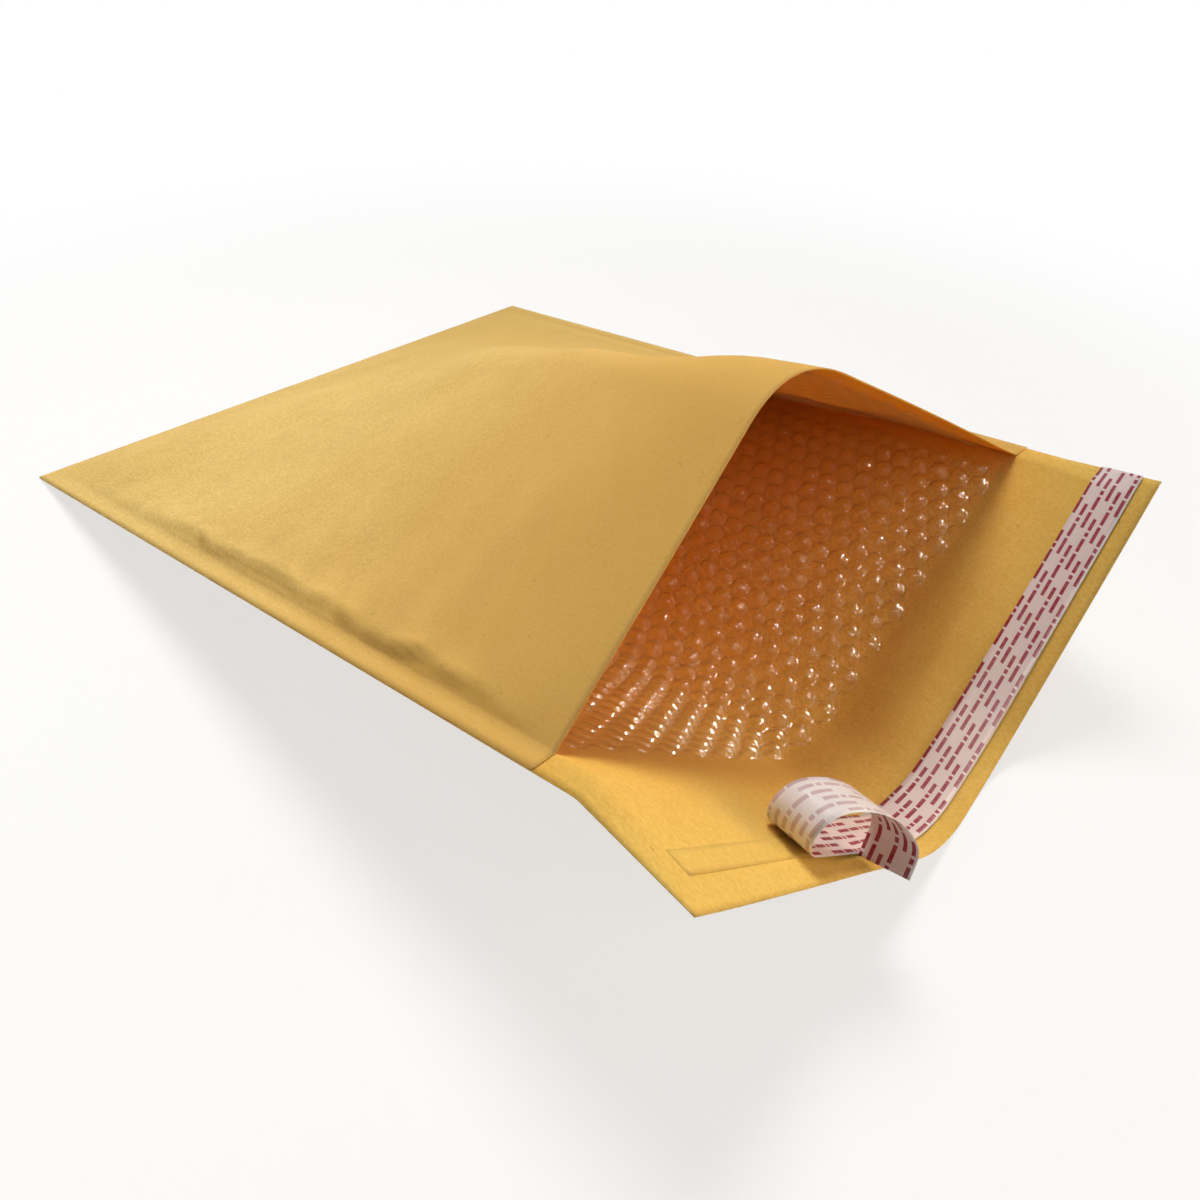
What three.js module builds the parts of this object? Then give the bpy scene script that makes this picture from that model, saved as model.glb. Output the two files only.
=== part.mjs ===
// Padded mailing envelope: one kraft paper sheet folded into a pocket with a closing flap, lined with
// bubble film, with a band of glue on the flap and a release strip that is half peeled and rolled over.
// It lies on its back with its mouth open. Millimetres and degrees, +Z up.
// +X runs from the closed end to the flap, +Y from the near side seam to the far one.
import * as THREE from 'three';

// Flat sizes of the paper
const width = 216; // over both side seams
const pocketLength = 264; // closed end to mouth
const flapLength = 42.5; // mouth to the free edge of the flap
const flapBend = 12; // the flap bends this far past the mouth
const seamWidth = 6; // flat sealed band along each side
const foldBand = 1.5; // pressed strip along the folded closed end
const paperThickness = 0.4;
const sealThickness = 0.2; // flattened film and glue between the two layers of a seam

// How the back panel sags: a flat trough that lies on the table, with a rising face on each side
const troughAtEnd = 81; // trough's middle from the near edge, on the flat paper at the closed end
const troughAtMouth = 105; // the same at the mouth
const troughAcross = 92; // where the trough's middle lies at the mouth
const troughWidth = 20;
const troughRounding = 6;
const nearRise = 36; // slope of the face from trough to near seam, at the mouth
const farRise = 29;

// How the front panel arches: one soft ridge that runs slantwise from the closed end to the mouth
const ridgeAtEnd = 154;
const ridgeAtMouth = 104;
const ridgeRounding = 11; // at the mouth
const ridgeSoftening = 30; // added towards the closed end

// The padding lifts the front panel beside its seams
const padRise = 3.5;
const padReach = 6; // distance from a seam to the crown of that lift
const padFade = 50; // the lift dies out over this length before the mouth

// How the flap lies at its free edge
const flapTroughAt = 116; // trough's middle from the near edge, on the flat paper
const flapTroughAcross = 104;
const flapTroughWidth = 33;
const flapRounding = 14;
const flapNearRise = 31.5;
const flapFarRise = 43.5;

// Bubble liner
const filmThickness = 0.5;
const layerGap = 0.35; // clearance between neighbouring layers
const linerInset = 4; // liner's side edges and fold from the seams
const mouthInset = 1; // liner's edge from the mouth
const bubbleColumns = 17; // half the real count, so that the facets stay few
const bubbleHeight = 3.6;
const flatBubble = 0.15; // what is left of a bubble pressed between the panels
const bubbleRoom = 0.8; // share of the height between the panels that the bubbles may fill
const domedRows = 3; // rows by the mouth whose bubbles get a rounded shoulder
const shoulderRadius = 0.62; // of the bubble's own radius
const shoulderHeight = 0.82; // of the bubble's own height

// Glue and release strip, both set from the free edge of the flap
const glueWidth = 6;
const glueFromEdge = 7.5;
const glueInset = seamWidth; // from the side edges
const glueThickness = 0.4;
const stripWidth = 13;
const stripFromEdge = 5;
const stripThickness = 0.3;

// The peeled end of the strip: a floor, three bends and a tail, rolled about a slanted axis
const peelAt = 70; // stuck down as far as here from the near edge
const rollSlant = 11;
const floorLength = 21;
const floorLift = 3;
const loopRadius = 6.2;
const loopTurn = 156;
const crownRadius = 20;
const crownTurn = 62;
const tailRadius = 4.5;
const tailTurn = 62;
const bends = [
  { radius: loopRadius, turn: loopTurn },
  { radius: crownRadius, turn: crownTurn },
  { radius: tailRadius, turn: tailTurn },
];

// Grid lines that the sheets are built on: steps from the root of a seam, parts of each flat face and
// of each rounded bend, and for both panels the steps from the fold at the closed end
const backGrid = { seamSteps: [linerInset], faceParts: 2, bendParts: 3 };
const frontGrid = { seamSteps: [1.5, linerInset, 8, 18], faceParts: 3, bendParts: 4 };
const foldSteps = [1, 2.5, linerInset, 8, 18];
const gridStep = 30;
const rollStep = 2.5;
const roundingShare = 0.45; // most of the shorter face beside a bend that its rounding may take
const pathDetail = 24; // samples that measure a rounded corner's length
const probe = 0.4; // step for surface normals

const radians = THREE.MathUtils.degToRad;
const vec = (x, y, z) => new THREE.Vector3(x, y, z);
const ratio = (value, from, to) => THREE.MathUtils.clamp((value - from) / (to - from), 0, 1);
const between = (from, to, parts) => Array.from({ length: parts + 1 }, (_, i) => from + ((to - from) * i) / parts);
const pairs = (list) => list.slice(1).map((item, i) => [list[i], item]);

// A straight line on the paper from the closed end to the mouth, as long as it is on the flat sheet
function paperLine(flatAtEnd, flatAtMouth, mouth) {
  const flat = Math.hypot(pocketLength - foldBand, flatAtMouth - flatAtEnd);
  const along = Math.sqrt(flat ** 2 - (mouth.across - flatAtEnd) ** 2 - mouth.up ** 2);
  const start = vec(foldBand, flatAtEnd, 0);
  const end = vec(foldBand + along, mouth.across, mouth.up);
  const heading = end.clone().sub(start).normalize();
  const at = (v) =>
    v <= foldBand
      ? vec(v, flatAtEnd, 0)
      : start.clone().lerp(end, (v - foldBand) / (pocketLength - foldBand));
  return { end, heading, at };
}

// Corner reached from another one along a rising slope
const climb = (from, distance, rise, side) => ({
  across: from.across + side * distance * Math.cos(radians(rise)),
  up: from.up + distance * Math.sin(radians(rise)),
});

// Apex of the front panel over the two seams, from the lengths of its two faces
function ridgeOver(near, far) {
  const nearFace = ridgeAtMouth - seamWidth;
  const farFace = width - seamWidth - ridgeAtMouth;
  const span = Math.hypot(far.across - near.across, far.up - near.up);
  const foot = (nearFace ** 2 - farFace ** 2 + span ** 2) / (2 * span);
  const height = Math.sqrt(nearFace ** 2 - foot ** 2);
  const [ey, ez] = [(far.across - near.across) / span, (far.up - near.up) / span];
  return { across: near.across + ey * foot - ez * height, up: near.up + ez * foot + ey * height };
}

// Corners of the open mouth, looking into it
const halfTrough = troughWidth / 2;
const mouthTrough = {
  near: { across: troughAcross - halfTrough, up: 0 },
  far: { across: troughAcross + halfTrough, up: 0 },
};
const nearFaceWidth = troughAtMouth - halfTrough - seamWidth;
const farFaceWidth = width - seamWidth - troughAtMouth - halfTrough;
const nearRoot = climb(mouthTrough.near, nearFaceWidth, nearRise, -1);
const farRoot = climb(mouthTrough.far, farFaceWidth, farRise, 1);
const lines = {
  nearEdge: paperLine(0, 0, climb(nearRoot, seamWidth, 0, -1)),
  nearRoot: paperLine(seamWidth, seamWidth, nearRoot),
  troughNear: paperLine(troughAtEnd - halfTrough, troughAtMouth - halfTrough, mouthTrough.near),
  troughFar: paperLine(troughAtEnd + halfTrough, troughAtMouth + halfTrough, mouthTrough.far),
  ridge: paperLine(ridgeAtEnd, ridgeAtMouth, ridgeOver(nearRoot, farRoot)),
  farRoot: paperLine(width - seamWidth, width - seamWidth, farRoot),
  farEdge: paperLine(width, width, climb(farRoot, seamWidth, 0, 1)),
};

// A path through corners in space, with a rounding at the corners that have one
function bentPath(corners, roundings) {
  const path = new THREE.CurvePath();
  const bendAt = [];
  let from = corners[0];
  corners.slice(1, -1).forEach((corner, i) => {
    const [back, on] = [corners[i].clone().sub(corner), corners[i + 2].clone().sub(corner)];
    const cut = Math.min(roundings[i], roundingShare * Math.min(back.length(), on.length()));
    const before = corner.clone().add(back.setLength(cut));
    const after = corner.clone().add(on.setLength(cut));
    path.add(new THREE.LineCurve3(from, before));
    if (cut > 0) {
      const bend = new THREE.QuadraticBezierCurve3(before, corner, after);
      bend.arcLengthDivisions = pathDetail;
      bendAt.push(path.curves.length);
      path.add(bend);
    }
    from = after;
  });
  path.add(new THREE.LineCurve3(from, corners.at(-1)));
  const ends = path.getCurveLengths();
  return { path, length: path.getLength(), bends: bendAt.map((k) => [ends[k - 1], ends[k]]) };
}

// One panel of the pocket: a section path for each distance from the closed end
class Panel {
  constructor(names, rounding, lift, level, gridLines) {
    Object.assign(this, { names, rounding, lift, level, gridLines, sections: new Map() });
  }

  section(v) {
    if (!this.sections.has(v)) {
      const corners = this.names.map((name) => lines[name].at(v));
      const rounding = this.rounding(v);
      const roundings = corners.slice(1, -1).map((_, i, all) => (i === 0 || i === all.length - 1 ? 0 : rounding));
      this.sections.set(v, bentPath(corners, roundings));
    }
    return this.sections.get(v);
  }

  // Grid lines across the panel, from edge to edge, as lengths along its section
  stations(v) {
    const { length, bends: bent } = this.section(v);
    const { seamSteps, faceParts, bendParts } = this.gridLines;
    const root = [seamWidth, ...seamSteps.map((step) => seamWidth + step)];
    const stops = [0, ...root];
    bent.forEach(([start, end]) => {
      stops.push(...between(stops.at(-1), start, faceParts).slice(1), ...between(start, end, bendParts).slice(1));
    });
    const tail = [...root].reverse().map((step) => length - step);
    stops.push(...between(stops.at(-1), tail[0], faceParts).slice(1), ...tail.slice(1), length);
    return stops;
  }

  point(s, v) {
    const { path, length } = this.section(Math.min(v, pocketLength));
    const share = THREE.MathUtils.clamp(s / length, 0, 1);
    const point = path.getPoint(share);
    if (v > pocketLength) return this.flapPoint(share, point, v - pocketLength);
    point.z += this.level + this.lift(s, length, v);
    return point;
  }

  // The sheet past the mouth: straight on to the bend, then straight to the free edge
  flapPoint(share, mouth, w) {
    const before = this.section(pocketLength - 1);
    const heading = mouth.clone().sub(before.path.getPoint(share)).normalize();
    const bend = mouth.clone().addScaledVector(heading, flapBend);
    const point =
      w <= flapBend
        ? mouth.clone().addScaledVector(heading, w)
        : bend.lerp(flapEdge.path.getPoint(share), (w - flapBend) / (flapLength - flapBend));
    point.z += this.level;
    return point;
  }

  normal(s, v) {
    const across = this.point(s + probe, v).sub(this.point(s - probe, v));
    const along = this.point(s, v + probe).sub(this.point(s, Math.max(v - probe, 0)));
    return along.cross(across).normalize();
  }

  offset(s, v, height) {
    return this.point(s, v).addScaledVector(this.normal(s, v), height);
  }
}

// Free edge of the flap, each corner at its own distance from the bend
function flapCorner(line, place) {
  const bend = line.end.clone().addScaledVector(line.heading, flapBend);
  const reach = flapLength - flapBend;
  const x = bend.x + Math.sqrt(reach ** 2 - (place.across - bend.y) ** 2 - (place.up - bend.z) ** 2);
  return vec(x, place.across, place.up);
}
const halfFlapTrough = flapTroughWidth / 2;
const flapTrough = {
  near: { across: flapTroughAcross - halfFlapTrough, up: 0 },
  far: { across: flapTroughAcross + halfFlapTrough, up: 0 },
};
const flapEdge = bentPath(
  [
    flapCorner(lines.nearEdge, climb(flapTrough.near, flapTroughAt - halfFlapTrough, flapNearRise, -1)),
    flapCorner(lines.troughNear, flapTrough.near),
    flapCorner(lines.troughFar, flapTrough.far),
    flapCorner(lines.farEdge, climb(flapTrough.far, width - flapTroughAt - halfFlapTrough, flapFarRise, 1)),
  ],
  [flapRounding, flapRounding],
);

// The lift of the padding grows from every seam to its crown and dies away again
function padLift(s, length, v) {
  const distance = Math.max(0, Math.min(s - seamWidth, length - seamWidth - s, v - foldBand)) / padReach;
  const fade = ratio(v, pocketLength, pocketLength - padFade);
  return padRise * fade * distance * Math.exp(1 - distance);
}

const back = new Panel(
  ['nearEdge', 'nearRoot', 'troughNear', 'troughFar', 'farRoot', 'farEdge'],
  () => troughRounding,
  () => 0,
  paperThickness / 2,
  backGrid,
);
const front = new Panel(
  ['nearEdge', 'nearRoot', 'ridge', 'farRoot', 'farEdge'],
  (v) => ridgeRounding + ridgeSoftening * (1 - v / pocketLength),
  padLift,
  paperThickness / 2 + paperThickness + sealThickness,
  frontGrid,
);

// Closed surface of one piece, collected as points and triangles
class Skin {
  points = [];

  faces = [];

  vertex(point) {
    return this.points.push(point) - 1;
  }

  triangle(a, b, c, turned) {
    this.faces.push(...(turned ? [a, c, b] : [a, b, c]));
  }

  // Face over rows of points; it looks up where the rows follow +X and each row runs along +Y
  grid(rows, turned = false) {
    pairs(rows).forEach(([row, next]) =>
      pairs([...row.keys()]).forEach(([j, k]) => {
        this.triangle(row[j], next[j], next[k], turned);
        this.triangle(row[j], next[k], row[k], turned);
      }),
    );
  }

  // Narrow face between two lines of points; it looks along the first line crossed with the way over
  bridge(first, second, turned = false) {
    const [p, q] = [this.shares(first), this.shares(second)];
    let [i, j] = [0, 0];
    while (i < first.length - 1 || j < second.length - 1) {
      if (j === second.length - 1 || (i < first.length - 1 && p[i + 1] <= q[j + 1])) {
        this.triangle(first[i], first[i + 1], second[j], turned);
        i += 1;
      } else {
        this.triangle(first[i], second[j + 1], second[j], turned);
        j += 1;
      }
    }
  }

  // Place of each point along a line, as a share of its length
  shares(line) {
    const sums = [0];
    pairs(line).forEach(([a, b]) => sums.push(sums.at(-1) + this.points[a].distanceTo(this.points[b])));
    return sums.map((sum) => sum / sums.at(-1));
  }

  geometry() {
    const geometry = new THREE.BufferGeometry().setFromPoints(this.points);
    geometry.setIndex(this.faces);
    geometry.computeVertexNormals();
    return geometry;
  }
}

const column = (rows, pick) => rows.map((row) => row.at(pick));

// Thin closed piece between two grids of points that match one to one
function slab(low, high) {
  const skin = new Skin();
  const [under, upper] = [low, high].map((rows) => rows.map((row) => row.map((point) => skin.vertex(point))));
  skin.grid(under, true);
  skin.grid(upper);
  skin.bridge(column(under, 0), column(upper, 0));
  skin.bridge(column(under, -1), column(upper, -1), true);
  skin.bridge(under[0], upper[0], true);
  skin.bridge(under.at(-1), upper.at(-1));
  return skin.geometry();
}

// Grid lines along the pocket, as distances from the closed end
const foldRows = [0, foldBand, ...foldSteps.map((step) => foldBand + step)];
const linerEnd = pocketLength - mouthInset;
const plainParts = Math.round((linerEnd - foldRows.at(-1)) / gridStep);
const pocketRows = [...foldRows, ...between(foldRows.at(-1), linerEnd, plainParts).slice(1), pocketLength];

// Grid lines along the flap, which are also the edges of the layers on it
const fromFlapEdge = (distance) => pocketLength + flapLength - distance;
const stripRows = [
  fromFlapEdge(stripFromEdge + stripWidth),
  fromFlapEdge(glueFromEdge + glueWidth),
  fromFlapEdge(glueFromEdge),
  fromFlapEdge(stripFromEdge),
];
const flapRows = [pocketLength + flapBend / 2, pocketLength + flapBend, ...stripRows, fromFlapEdge(0)];

function kraftEnvelope() {
  const skin = new Skin();
  const half = paperThickness / 2;
  const sheetRows = [...pocketRows, ...flapRows];
  const layer = (panel, rows, height, trim = 0) =>
    rows.map((v) => {
      const stops = panel.stations(Math.min(v, pocketLength));
      return stops.slice(trim, stops.length - trim).map((s) => skin.vertex(panel.offset(s, v, height)));
    });
  const under = layer(back, sheetRows, -half);
  const upper = layer(back, sheetRows, half);
  const outside = layer(front, pocketRows, half);
  const ceiling = layer(front, pocketRows.slice(1), -half, 1);
  const mouth = pocketRows.length;
  const floor = upper.slice(1, mouth).map((row) => row.slice(1, -1));

  skin.grid(under, true);
  skin.grid(floor);
  skin.grid(upper.slice(mouth - 1));
  skin.grid(outside);
  skin.grid(ceiling, true);

  // Cut edges of the sheet, the two layers of the seams one on the other
  [[0, false], [-1, true]].forEach(([side, turned]) => {
    skin.bridge(column(under, side), column(upper, side), turned);
    skin.bridge(column(upper.slice(0, mouth), side), column(outside, side), turned);
    skin.bridge(column(floor, side), column(ceiling, side), !turned);
    const [lip, top] = [upper[mouth - 1].at(side), outside.at(-1).at(side)];
    const root = [floor.at(-1), ceiling.at(-1), outside.at(-1).slice(1, -1)].map((row) => row.at(side));
    skin.bridge([lip, ...root], [top], turned);
  });
  skin.bridge(under[0], upper[0], true);
  skin.bridge(upper[0], outside[0], true);
  skin.bridge(floor[0], ceiling[0]);
  skin.bridge(under.at(-1), upper.at(-1));
  skin.bridge(ceiling.at(-1), outside.at(-1).slice(1, -1));
  return skin.geometry();
}

// Liner: places across it are shares of its width, between two lines beside the seams
const linerSide = seamWidth + linerInset;
const linerStart = foldBand + linerInset;
const linerAcross = (panel, share, v) => {
  const { length } = panel.section(v);
  return linerSide + share * (length - 2 * linerSide);
};
const paperFace = paperThickness / 2 + layerGap;
const filmFace = paperFace + filmThickness;

// Height that a bubble has between the panels
function bubbleAt(share, v) {
  const low = back.point(linerAcross(back, share, v), v);
  const high = front.point(linerAcross(front, share, v), v);
  const room = (bubbleRoom * (high.z - low.z)) / 2 - filmFace - layerGap / 2;
  return THREE.MathUtils.clamp(room, flatBubble, bubbleHeight);
}

// Film of one panel: plain towards the paper, bubbles in staggered rows towards the pocket.
// The honeycomb of the bubbles has corners on a lattice of half columns and sixths of a double row.
function bubbleSheet(skin, panel, side) {
  const columns = 2 * bubbleColumns;
  const bubbleStart = linerStart + filmThickness;
  const rise = (width - 2 * linerSide) / columns / Math.sqrt(3);
  const rowCount = 2 * Math.round(((linerEnd - bubbleStart) / rise - 4) / 6) + 1;
  const steps = 3 * rowCount + 1;
  const alongAt = (b) => THREE.MathUtils.lerp(bubbleStart, linerEnd, b / steps);
  const down = side > 0;
  const place = (a, b, height) => {
    const v = alongAt(b);
    return skin.vertex(panel.offset(linerAcross(panel, a / columns, v), v, side * height));
  };
  const lattice = new Map();
  const corner = (a, b) => {
    const key = b * (columns + 1) + a;
    if (!lattice.has(key)) lattice.set(key, { a, b, index: place(a, b, filmFace) });
    return lattice.get(key).index;
  };
  const triangle = (a, b, c) => skin.triangle(a, b, c, down);

  const hexagon = [[1, -1], [1, 1], [0, 2], [-1, 1], [-1, -1], [0, -2]];
  for (let row = 0; row < rowCount; row += 1) {
    const b = 2 + 3 * row;
    const shifted = row % 2;
    const domed = row >= rowCount - domedRows;
    for (let a = 1 + shifted; a < columns; a += 2) {
      const rim = hexagon.map(([da, db]) => corner(a + da, b + db));
      const height = bubbleAt(a / columns, alongAt(b));
      const top = place(a, b, filmFace + height);
      const shoulder = ([da, db]) =>
        place(a + da * shoulderRadius, b + db * shoulderRadius, filmFace + height * shoulderHeight);
      const ring = domed ? hexagon.map(shoulder) : rim;
      rim.forEach((start, k) => {
        const next = (k + 1) % rim.length;
        if (domed) {
          triangle(start, rim[next], ring[next]);
          triangle(start, ring[next], ring[k]);
        }
        triangle(ring[k], ring[next], top);
      });
    }
    if (shifted) {
      triangle(corner(0, b - 2), corner(1, b - 1), corner(1, b + 1));
      triangle(corner(0, b - 2), corner(1, b + 1), corner(0, b + 2));
      triangle(corner(columns, b - 2), corner(columns, b + 2), corner(columns - 1, b + 1));
      triangle(corner(columns, b - 2), corner(columns - 1, b + 1), corner(columns - 1, b - 1));
    }
  }
  [[0, 1], [steps, steps - 1]].forEach(([edge, inner]) => {
    const fill = (a, b, c) => skin.triangle(a, b, c, edge === 0 ? down : !down);
    fill(corner(0, edge), corner(1, edge), corner(0, inner));
    for (let a = 1; a < columns - 1; a += 2) fill(corner(a, edge), corner(a + 2, edge), corner(a + 1, inner));
    fill(corner(columns - 1, edge), corner(columns, edge), corner(columns, inner));
  });

  // Paper side of the film, on the grid lines of the paper
  const rows = pocketRows.filter((v) => v >= linerStart && v <= linerEnd);
  const plain = rows.map((v) => {
    const { length } = panel.section(v);
    const stops = panel.stations(v).filter((s) => Math.min(s, length - s) > linerSide - probe);
    return stops.map((s) => skin.vertex(panel.offset(s, v, side * paperFace)));
  });
  skin.grid(plain, down);

  // Cut edges of the film
  const rim = (test, order) => [...lattice.values()].filter(test).sort(order).map(({ index }) => index);
  const alongEdge = (edge) => rim(({ a }) => a === edge, (p, q) => p.b - q.b);
  const acrossEdge = (edge) => rim(({ b }) => b === edge, (p, q) => p.a - q.a);
  skin.bridge(column(plain, 0), alongEdge(0), !down);
  skin.bridge(column(plain, -1), alongEdge(columns), down);
  skin.bridge(plain.at(-1), acrossEdge(steps), !down);
  return { plain: plain[0], bubbles: acrossEdge(0) };
}

// One film folded at the closed end, under the front panel and over the back one
function bubbleLiner() {
  const skin = new Skin();
  const [low, high] = [bubbleSheet(skin, back, 1), bubbleSheet(skin, front, -1)];
  skin.bridge(low.plain, high.plain, true);
  skin.bridge(low.bubbles, high.bubbles);
  [[0, false], [-1, true]].forEach(([side, turned]) => {
    skin.bridge([low.plain.at(side), low.bubbles.at(side)], [high.plain.at(side), high.bubbles.at(side)], turned);
  });
  return skin.geometry();
}

// Layers on the flap, above the paper's upper face
const glueFloor = paperThickness / 2 + layerGap;
const stripFloor = glueFloor + glueThickness + layerGap;
const flapStations = (from, to) => {
  const stops = back.stations(pocketLength).filter((s) => s > from + probe && s < to - probe);
  return [from, ...stops, to];
};
const flapSpan = back.section(pocketLength).length;

function adhesiveStrip() {
  const stops = flapStations(glueInset, flapSpan - glueInset);
  const rows = stripRows.slice(1, 3);
  const layer = (height) => rows.map((v) => stops.map((s) => back.offset(s, v, height)));
  return slab(layer(glueFloor), layer(glueFloor + glueThickness));
}

// Section of the roll: place in the rolling plane for a distance along the strip, before or past the peel
function rollSection() {
  const legs = [
    { length: floorLength, turn: 0 },
    ...bends.map(({ radius, turn }) => ({ length: radius * radians(turn), turn: radians(turn) })),
  ];
  return (distance) => {
    let [x, z, heading, left] = [0, 0, radians(floorLift), distance];
    legs.forEach(({ length, turn }) => {
      const run = Math.min(left, length);
      const rate = turn / length;
      const next = heading + rate * run;
      x += rate ? (Math.sin(next) - Math.sin(heading)) / rate : run * Math.cos(heading);
      z += rate ? (Math.cos(heading) - Math.cos(next)) / rate : run * Math.sin(heading);
      heading = next;
      left -= run;
    });
    return { x: x + left * Math.cos(heading), z: z + left * Math.sin(heading) };
  };
}

function releaseStrip() {
  const middleRow = fromFlapEdge(stripFromEdge + stripWidth / 2);
  const base = back.offset(peelAt, middleRow, stripFloor);
  const up = back.normal(peelAt, middleRow);
  const onward = back.point(peelAt - 1, middleRow).sub(back.point(peelAt, middleRow)).normalize();
  const outward = up.clone().cross(onward).normalize();
  const slant = radians(rollSlant);
  const axis = outward.clone().multiplyScalar(Math.cos(slant)).addScaledVector(onward, Math.sin(slant));
  const round = onward.clone().multiplyScalar(Math.cos(slant)).addScaledVector(outward, -Math.sin(slant));
  const section = rollSection();
  const rollPoint = (along, v, height) => {
    const aside = v - middleRow;
    const turned = along * Math.cos(slant) - aside * Math.sin(slant);
    const [here, ahead] = [section(turned), section(turned + probe)];
    const tilt = Math.atan2(ahead.z - here.z, ahead.x - here.x);
    return base
      .clone()
      .addScaledVector(axis, along * Math.sin(slant) + aside * Math.cos(slant))
      .addScaledVector(round, here.x - height * Math.sin(tilt))
      .addScaledVector(up, here.z + height * Math.cos(tilt));
  };
  const rolled = between(peelAt, 0, Math.round(peelAt / rollStep)).slice(0, -1);
  const stuck = flapStations(peelAt, flapSpan);
  const layer = (height) =>
    stripRows.map((v) => [
      ...rolled.map((along) => rollPoint(along, v, height)),
      ...stuck.map((s) => back.offset(s, v, stripFloor + height)),
    ]);
  return slab(layer(0), layer(stripThickness));
}

// Finishes
const finish = (color, roughness, more = {}) =>
  new THREE.MeshStandardMaterial({ color, roughness, metalness: 0, side: THREE.DoubleSide, ...more });
const kraft = finish(0xd9b163, 0.85);
const clearFilm = finish(0xf3ead8, 0.2, { transparent: true, opacity: 0.35 });
const hotMelt = finish(0xdcb25c, 0.45);
const releasePaper = finish(0xeee4e2, 0.5);

function piece(name, geometry, material) {
  const mesh = new THREE.Mesh(geometry, material);
  mesh.name = name;
  return mesh;
}

// The origin is on the table under the middle of the pocket's trough
const rest = lines.troughNear.at(pocketLength / 2).lerp(lines.troughFar.at(pocketLength / 2), 0.4);
const envelope = new THREE.Group();
envelope.position.set(-rest.x, -rest.y, 0);
envelope.add(
  piece('kraft_envelope', kraftEnvelope(), kraft),
  piece('bubble_liner', bubbleLiner(), clearFilm),
  piece('adhesive_strip', adhesiveStrip(), hotMelt),
  piece('release_strip', releaseStrip(), releasePaper),
);

export default envelope;
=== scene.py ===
"""Dresses a padded mailing envelope: folded kraft paper, bubble film, a band of glue and a release strip.

The paper lies open as in the photograph. Shapes are worked out in millimetres on the flat sheet, folded into
place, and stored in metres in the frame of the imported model: +X from the closed end to the flap, +Y from the
near seam to the far one, +Z up.
"""

from __future__ import annotations

import bisect
import logging
import math
from dataclasses import dataclass, replace
from enum import Enum
from typing import Callable, Iterable, Sequence, Union

import bmesh
import bpy
from mathutils import Matrix, Vector, noise

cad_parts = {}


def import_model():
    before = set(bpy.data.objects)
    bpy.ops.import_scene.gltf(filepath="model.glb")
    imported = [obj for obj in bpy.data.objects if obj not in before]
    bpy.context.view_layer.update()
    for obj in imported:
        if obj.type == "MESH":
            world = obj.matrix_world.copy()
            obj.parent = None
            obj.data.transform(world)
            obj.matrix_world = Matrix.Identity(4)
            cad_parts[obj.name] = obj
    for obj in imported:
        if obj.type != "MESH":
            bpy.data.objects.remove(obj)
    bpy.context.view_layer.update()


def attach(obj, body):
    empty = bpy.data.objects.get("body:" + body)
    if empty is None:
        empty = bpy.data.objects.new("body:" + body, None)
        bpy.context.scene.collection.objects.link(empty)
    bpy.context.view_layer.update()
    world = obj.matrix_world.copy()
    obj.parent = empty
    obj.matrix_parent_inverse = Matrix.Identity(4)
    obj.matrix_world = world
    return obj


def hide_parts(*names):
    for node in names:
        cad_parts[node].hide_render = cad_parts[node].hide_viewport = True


LOG = logging.getLogger("padded_envelope")

MM = 0.001
BODY = "root"
PROBE = 0.4  # step for surface normals, in millimetres
HEADING_STEP = 1.0  # step for the direction of a line on the sheet, in millimetres
SEAM_CORNERS = 4  # corners of a cross line that belong to its two seams
BEND_DETAIL = 16  # straight pieces that a rounded bend is measured with
SECTION_PLACES = 1  # decimals of a millimetre that cross lines are kept apart by

Number = Union[float, "Value"]
Pair = tuple[float, float]
Triple = tuple[float, float, float]
Color = tuple[float, float, float, float]


class PaperSide(Enum):
    """The two sides of the folded sheet, as material slots of its mesh."""

    OUTSIDE = 0
    INSIDE = 1


class Facing(Enum):
    """Which way a panel's own normal looks, seen from inside the pocket."""

    FLOOR = 1.0
    CEILING = -1.0


# Small helpers on numbers


def ratio(value: float, start: float, stop: float) -> float:
    """Share of the way from start to stop, which may be the lower one, held between 0 and 1."""
    return min(1.0, max(0.0, (value - start) / (stop - start)))


def ease(value: float, start: float, stop: float) -> float:
    """Share of the way from start to stop with soft ends."""
    share = ratio(value, start, stop)
    return share * share * (3.0 - 2.0 * share)


def hump(share: float) -> float:
    """Rise from 0 to 1 at a share of 1, and a slow fall after it."""
    return share * math.exp(1.0 - share)


def spread(start: float, stop: float, parts: int) -> list[float]:
    """Even steps from start to stop, both ends included."""
    return [start + (stop - start) * k / parts for k in range(parts + 1)]


def ripple(x: float, y: float, size: float, seed: float) -> float:
    """Soft random relief between about -1 and 1, from swells of a size; the seed picks one out of many."""
    return noise.noise(Vector((x / size, y / size, seed)))


# The folded paper


@dataclass(frozen=True)
class PaperCut:
    """Flat sizes of the paper sheet, in millimetres."""

    width: float = 216.0
    pocket_length: float = 264.0
    flap_length: float = 42.5
    flap_bend: float = 12.0
    seam_width: float = 6.0
    fold_band: float = 1.5
    thickness: float = 0.3
    floor_level: float = 0.16
    seam_step: float = 0.36

    @property
    def flat_length(self) -> float:
        """Length of the whole cut, both panels and the flap."""
        return 2.0 * self.pocket_length + self.flap_length

    @property
    def free_edge(self) -> float:
        """Distance of the flap's free edge from the closed end."""
        return self.pocket_length + self.flap_length


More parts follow.
